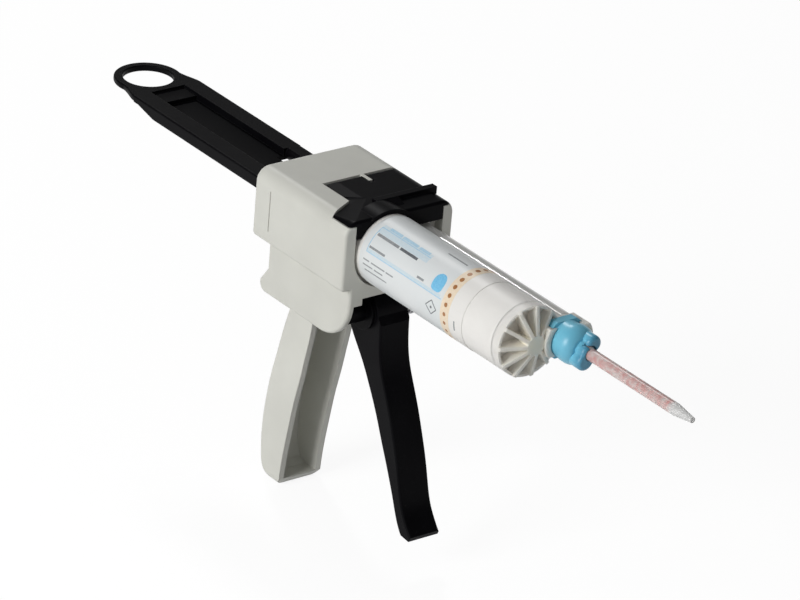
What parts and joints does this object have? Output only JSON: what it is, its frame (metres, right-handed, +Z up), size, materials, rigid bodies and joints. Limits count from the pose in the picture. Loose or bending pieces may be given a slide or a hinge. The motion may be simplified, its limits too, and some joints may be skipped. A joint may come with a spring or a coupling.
{
  "type": "dental cartridge dispensing tool",
  "caption": "Pistol-grip hand tool that drives the pistons of a two-barrel cartridge and pushes the paste through a static mixer.",
  "frame": {"origin": "middle of the grip, where the palm holds it, on the housing's centre plane", "axes": "+X the way the paste leaves, along the barrels; +Z up; +Y towards the small barrel's side"},
  "size_m": [0.3572, 0.0518, 0.1432],
  "materials": {
    "housing_grey": "satin moulded",
    "black_plastic": "satin moulded",
    "drive_plastic": "matt moulded",
    "steel": "turned",
    "spring_steel": "drawn wire",
    "cartridge_white": "semi-gloss moulded",
    "clear_barrel": "clear moulded",
    "piston_white": "matt moulded",
    "label_paper": "printed paper, bare of words",
    "collar_blue": "gloss moulded",
    "mixer_clear": "clear moulded",
    "element_pink": "matt moulded"
  },
  "bodies": {
    "frame": {"housing": "housing_grey", "handle": "housing_grey", "handle_screws": "steel", "trigger_pin": "steel", "trigger_spring": "spring_steel", "release_pin": "steel", "release_spring": "spring_steel", "lock_pin": "steel", "base_barrel": "cartridge_white", "catalyst_barrel": "clear_barrel", "outlet_nose": "cartridge_white", "cartridge_label": "label_paper"},
    "trigger_body": {"trigger": "black_plastic"},
    "carriage": {"drive_carriage": "drive_plastic", "carriage_pin": "steel", "pawl_pin": "steel", "pawl_spring": "spring_steel"},
    "pawl": {"drive_pawl": "steel"},
    "release": {"release_lever": "black_plastic"},
    "pusher_body": {"pusher": "black_plastic", "base_plunger": "black_plastic", "catalyst_plunger": "black_plastic"},
    "base_piston_body": {"base_piston": "piston_white"},
    "catalyst_piston_body": {"catalyst_piston": "piston_white"},
    "lock": {"cartridge_lock": "black_plastic"},
    "mixer": {"mixer_collar": "collar_blue", "mixer_tube": "mixer_clear", "mixing_element": "element_pink"}
  },
  "joints": [
    {"name": "trigger_hinge", "type": "hinge", "parent": "frame", "child": "trigger_body", "pos_m": [0.043, 0, 0.0454], "axis": [0, 1, 0], "range_deg": [0, 20], "stiffness_Nm_per_rad": 0.15, "springref_deg": -28.65, "deforming": ["trigger_spring"]},
    {"name": "carriage_slide", "type": "slide", "parent": "frame", "child": "carriage", "axis": [1, 0, 0], "range_m": [0, 0.0063]},
    {"name": "pawl_hinge", "type": "hinge", "parent": "carriage", "child": "pawl", "pos_m": [0.018, 0, 0.0646], "axis": [0, -1, 0], "range_deg": [0, 8], "stiffness_Nm_per_rad": 0.002, "deforming": ["pawl_spring"]},
    {"name": "release_hinge", "type": "hinge", "parent": "frame", "child": "release", "pos_m": [0.009, 0, 0.0664], "axis": [0, -1, 0], "range_deg": [0, 5], "stiffness_Nm_per_rad": 0.2, "springref_deg": -11.46, "deforming": ["release_spring"]},
    {"name": "pusher_slide", "type": "slide", "parent": "frame", "child": "pusher_body", "axis": [1, 0, 0], "range_m": [0, 0.08]},
    {"name": "base_piston_slide", "type": "slide", "parent": "frame", "child": "base_piston_body", "axis": [1, 0, 0], "range_m": [0, 0.08]},
    {"name": "catalyst_piston_slide", "type": "slide", "parent": "frame", "child": "catalyst_piston_body", "axis": [1, 0, 0], "range_m": [0, 0.08]},
    {"name": "lock_hinge", "type": "hinge", "parent": "frame", "child": "lock", "pos_m": [0.0193, 0, 0.08805], "axis": [0, -1, 0], "range_deg": [0, 90]},
    {"name": "mixer_twist", "type": "hinge", "parent": "frame", "child": "mixer", "pos_m": [0.146, 0.0088, 0.075], "axis": [1, 0, 0], "range_deg": [-90, 0]}
  ],
  "couplings": [
    {"joint": "carriage_slide", "follows": "trigger_hinge", "m_per_rad": 0.01706},
    {"joint": "base_piston_slide", "follows": "pusher_slide", "ratio": 1},
    {"joint": "catalyst_piston_slide", "follows": "pusher_slide", "ratio": 1}
  ]
}
